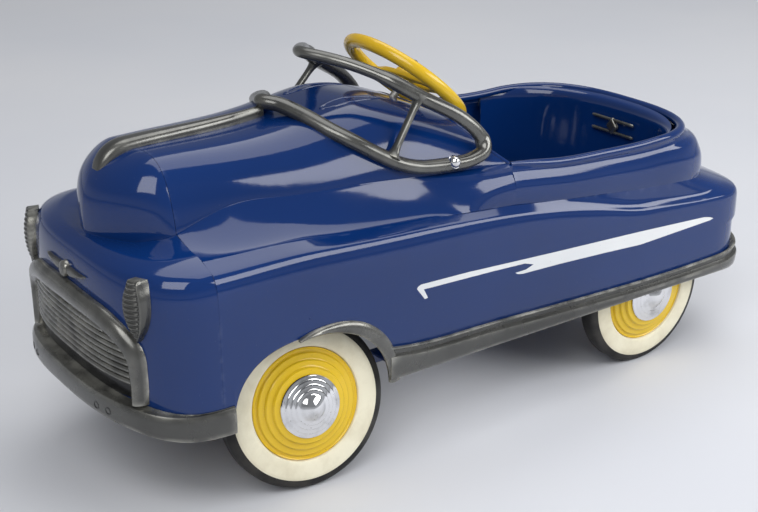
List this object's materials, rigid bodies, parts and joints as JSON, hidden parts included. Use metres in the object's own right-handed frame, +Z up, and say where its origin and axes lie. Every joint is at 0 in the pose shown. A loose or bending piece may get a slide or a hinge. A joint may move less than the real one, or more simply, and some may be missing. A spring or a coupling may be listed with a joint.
{
  "type": "pedal car",
  "caption": "Child's pedal car of pressed steel: raised hood, open cockpit with a rolled rim, stepped tail, disc wheels that steer and a cranked rear axle turned by two swinging pedals.",
  "frame": {"origin": "centre of the bounding box's bottom face, on the floor under the middle of the car", "axes": "+X points to the car's left, +Y to its rear, +Z up"},
  "size_m": [0.373, 0.971, 0.4705],
  "materials": {
    "body_enamel": "glossy enamel",
    "trim_paint": "metallic satin paint",
    "bright_chrome": "polished",
    "wheel_enamel": "glossy enamel",
    "tyre_rubber": "smooth rubber, cream sidewall band",
    "pedal_rubber": "matte",
    "bare_steel": "plain drawn steel"
  },
  "bodies": {
    "body": {"side_panel_left": "body_enamel", "side_panel_right": "body_enamel", "tail_shell": "body_enamel", "cockpit_side_left": "body_enamel", "cockpit_side_right": "body_enamel", "cockpit_back": "body_enamel", "seat_back": "body_enamel", "hood_cowl_shell": "body_enamel", "nose_shell": "body_enamel", "sill_trim_left": "trim_paint", "sill_trim_right": "trim_paint", "rear_bumper": "trim_paint", "front_bumper": "trim_paint", "grille_frame": "trim_paint", "grille_bars": "trim_paint", "nose_emblem": "trim_paint", "hood_ornament": "trim_paint", "headlight_left": "trim_paint", "headlight_right": "trim_paint", "windshield_frame": "trim_paint", "windshield_nut_left": "bright_chrome", "windshield_nut_right": "bright_chrome", "rear_badge": "trim_paint", "seat_pan": "body_enamel", "frame_rail_left": "body_enamel", "frame_rail_right": "body_enamel", "front_subframe": "body_enamel", "front_cross_strap": "body_enamel", "front_axle_beam": "bare_steel", "kingpin_left": "bare_steel", "kingpin_right": "bare_steel", "rear_hanger_left": "body_enamel", "rear_hanger_right": "body_enamel", "steering_bracket": "body_enamel", "pedal_hanger_rod": "bare_steel"},
    "steering": {"steering_shaft": "bare_steel", "steering_wheel": "wheel_enamel", "steering_nut": "bright_chrome"},
    "knuckle_left": {"knuckle_left": "bare_steel"},
    "knuckle_right": {"knuckle_right": "bare_steel"},
    "tie_rod": {"tie_rod": "bare_steel"},
    "front_wheel_left": {"front_tyre_left": "tyre_rubber", "front_disc_left": "wheel_enamel", "front_hubcap_left": "bright_chrome"},
    "front_wheel_right": {"front_tyre_right": "tyre_rubber", "front_disc_right": "wheel_enamel", "front_hubcap_right": "bright_chrome"},
    "crank": {"crank_axle": "bare_steel", "rear_tyre_left": "tyre_rubber", "rear_disc_left": "wheel_enamel", "rear_hubcap_left": "bright_chrome"},
    "rear_wheel_right": {"rear_tyre_right": "tyre_rubber", "rear_disc_right": "wheel_enamel", "rear_hubcap_right": "bright_chrome"},
    "push_rod_left": {"push_rod_left": "bare_steel"},
    "push_rod_right": {"push_rod_right": "bare_steel"},
    "pedal_arm_left": {"pedal_arm_left": "bare_steel"},
    "pedal_arm_right": {"pedal_arm_right": "bare_steel"},
    "pedal_left": {"pedal_left": "pedal_rubber"},
    "pedal_right": {"pedal_right": "pedal_rubber"}
  },
  "joints": [
    {"name": "steering_turn", "type": "hinge", "parent": "body", "child": "steering", "pos_m": [0, -0.004, 0.408], "axis": [0, 0.6691, 0.7431], "range_deg": [-19, 31]},
    {"name": "knuckle_left_turn", "type": "hinge", "parent": "body", "child": "knuckle_left", "pos_m": [0.1125, -0.257, 0.12], "axis": [0, 0, 1], "range_deg": [-19, 31]},
    {"name": "knuckle_right_turn", "type": "hinge", "parent": "body", "child": "knuckle_right", "pos_m": [-0.1125, -0.257, 0.12], "axis": [0, 0, 1], "range_deg": [-19, 31]},
    {"name": "tie_rod_swing", "type": "hinge", "parent": "knuckle_left", "child": "tie_rod", "pos_m": [0.11774, -0.20727, 0.105], "axis": [0, 0, 1], "range_deg": [-31, 19]},
    {"name": "front_wheel_left_spin", "type": "hinge", "parent": "knuckle_left", "child": "front_wheel_left", "pos_m": [0.16173, -0.26219, 0.10213], "axis": [0.98, -0.1033, 0.1702], "continuous": true},
    {"name": "front_wheel_right_spin", "type": "hinge", "parent": "knuckle_right", "child": "front_wheel_right", "pos_m": [-0.16173, -0.25181, 0.10213], "axis": [0.98, -0.1033, -0.1702], "continuous": true},
    {"name": "crank_spin", "type": "hinge", "parent": "body", "child": "crank", "pos_m": [0, 0.285, 0.1], "axis": [1, 0, 0], "continuous": true},
    {"name": "rear_wheel_right_spin", "type": "hinge", "parent": "crank", "child": "rear_wheel_right", "pos_m": [-0.1617, 0.285, 0.1], "axis": [1, 0, 0], "continuous": true},
    {"name": "push_rod_left_pivot", "type": "hinge", "parent": "crank", "child": "push_rod_left", "pos_m": [0.04, 0.243, 0.1], "axis": [1, 0, 0], "continuous": true},
    {"name": "push_rod_right_pivot", "type": "hinge", "parent": "crank", "child": "push_rod_right", "pos_m": [-0.04, 0.327, 0.1], "axis": [1, 0, 0], "continuous": true},
    {"name": "pedal_arm_left_swing", "type": "hinge", "parent": "body", "child": "pedal_arm_left", "pos_m": [0.046, -0.06, 0.3], "axis": [1, 0, 0], "range_deg": [0, 35]},
    {"name": "pedal_arm_right_swing", "type": "hinge", "parent": "body", "child": "pedal_arm_right", "pos_m": [-0.046, -0.06, 0.3], "axis": [1, 0, 0], "range_deg": [-35, 0]},
    {"name": "pedal_left_turn", "type": "hinge", "parent": "pedal_arm_left", "child": "pedal_left", "pos_m": [0.076, -0.11262, 0.1331], "axis": [1, 0, 0], "continuous": true},
    {"name": "pedal_right_turn", "type": "hinge", "parent": "pedal_arm_right", "child": "pedal_right", "pos_m": [-0.076, -0.00738, 0.1331], "axis": [1, 0, 0], "continuous": true}
  ],
  "couplings": [
    {"joint": "knuckle_left_turn", "follows": "steering_turn", "ratio": 1},
    {"joint": "knuckle_right_turn", "follows": "steering_turn", "ratio": 1},
    {"joint": "tie_rod_swing", "follows": "steering_turn", "ratio": -1},
    {"joint": "push_rod_left_pivot", "follows": "crank_spin", "ratio": -1},
    {"joint": "push_rod_right_pivot", "follows": "crank_spin", "ratio": -1},
    {"joint": "pedal_arm_right_swing", "follows": "pedal_arm_left_swing", "ratio": -1}
  ]
}
